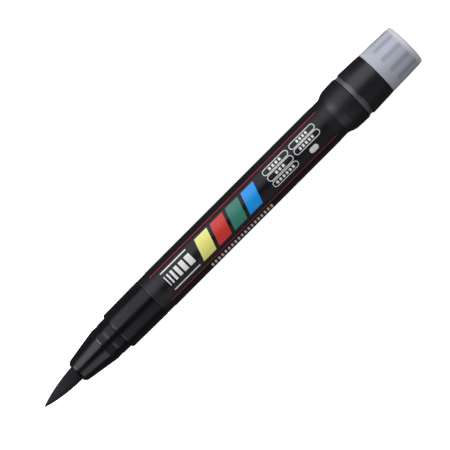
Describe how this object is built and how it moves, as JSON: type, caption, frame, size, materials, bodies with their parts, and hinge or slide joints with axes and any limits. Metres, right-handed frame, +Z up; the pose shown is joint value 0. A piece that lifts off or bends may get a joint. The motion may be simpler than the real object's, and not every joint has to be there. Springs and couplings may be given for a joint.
{
  "type": "brush pen",
  "caption": "Brush pen with a pointed fibre tuft, tapered nose, printed barrel and a translucent push-button tail that opens its ink valve.",
  "frame": {"origin": "centre of the bounding box, at its lowest face: under the pen's middle, on the plane that its collar touches", "axes": "+X along the pen from the tuft to the button, +Y across it to the top edge of the print, +Z up through the printed side"},
  "size_m": [0.1536, 0.0156, 0.0157],
  "materials": {
    "bristle": "fine nylon filaments, dark, satin",
    "black_gloss": "glossy moulded black",
    "black_satin": "satin moulded black",
    "black_film": "printed shrink film, semi-gloss black",
    "smoke_clear": "translucent smoky grey moulding",
    "steel": "bright stainless steel",
    "rubber": "black nitrile",
    "natural_plastic": "unpigmented moulded plastic",
    "ink_fibre": "bonded fibre, soaked with ink"
  },
  "bodies": {
    "barrel": {"tuft_root": "bristle", "tuft_binding": "natural_plastic", "tuft_ferrule": "natural_plastic", "nose_cone": "black_gloss", "nose_o_ring": "rubber", "grip_section": "black_gloss", "feed_core": "ink_fibre", "feed_holder": "natural_plastic", "valve_spring": "steel", "valve_seat": "natural_plastic", "barrel": "black_satin", "barrel_o_ring": "rubber", "label_film": "black_film", "tail_bulkhead": "natural_plastic", "rod_seal": "rubber", "spring_washer": "steel", "return_spring": "steel"},
    "tuft_tip": {"tuft_tip": "bristle"},
    "push_button": {"push_button": "smoke_clear", "button_collar": "black_satin", "valve_rod": "steel", "valve_head": "natural_plastic", "valve_gasket": "rubber"},
    "mixing_ball": {"mixing_ball": "steel"}
  },
  "joints": [
    {"name": "button_press", "type": "slide", "parent": "barrel", "child": "push_button", "axis": [-1, 0, 0], "range_m": [0, 0.0012], "stiffness_N_per_m": 500, "springref_m": -0.004, "deforming": ["return_spring", "valve_spring"]},
    {"name": "tuft_bend", "type": "hinge", "parent": "barrel", "child": "tuft_tip", "pos_m": [-0.06525, 0, 0.00785], "axis": [0, 0, 1], "range_deg": [-30, 30], "stiffness_Nm_per_rad": 0.0005},
    {"name": "ball_run", "type": "slide", "parent": "barrel", "child": "mixing_ball", "axis": [1, 0, 0], "range_m": [0, 0.066]}
  ]
}
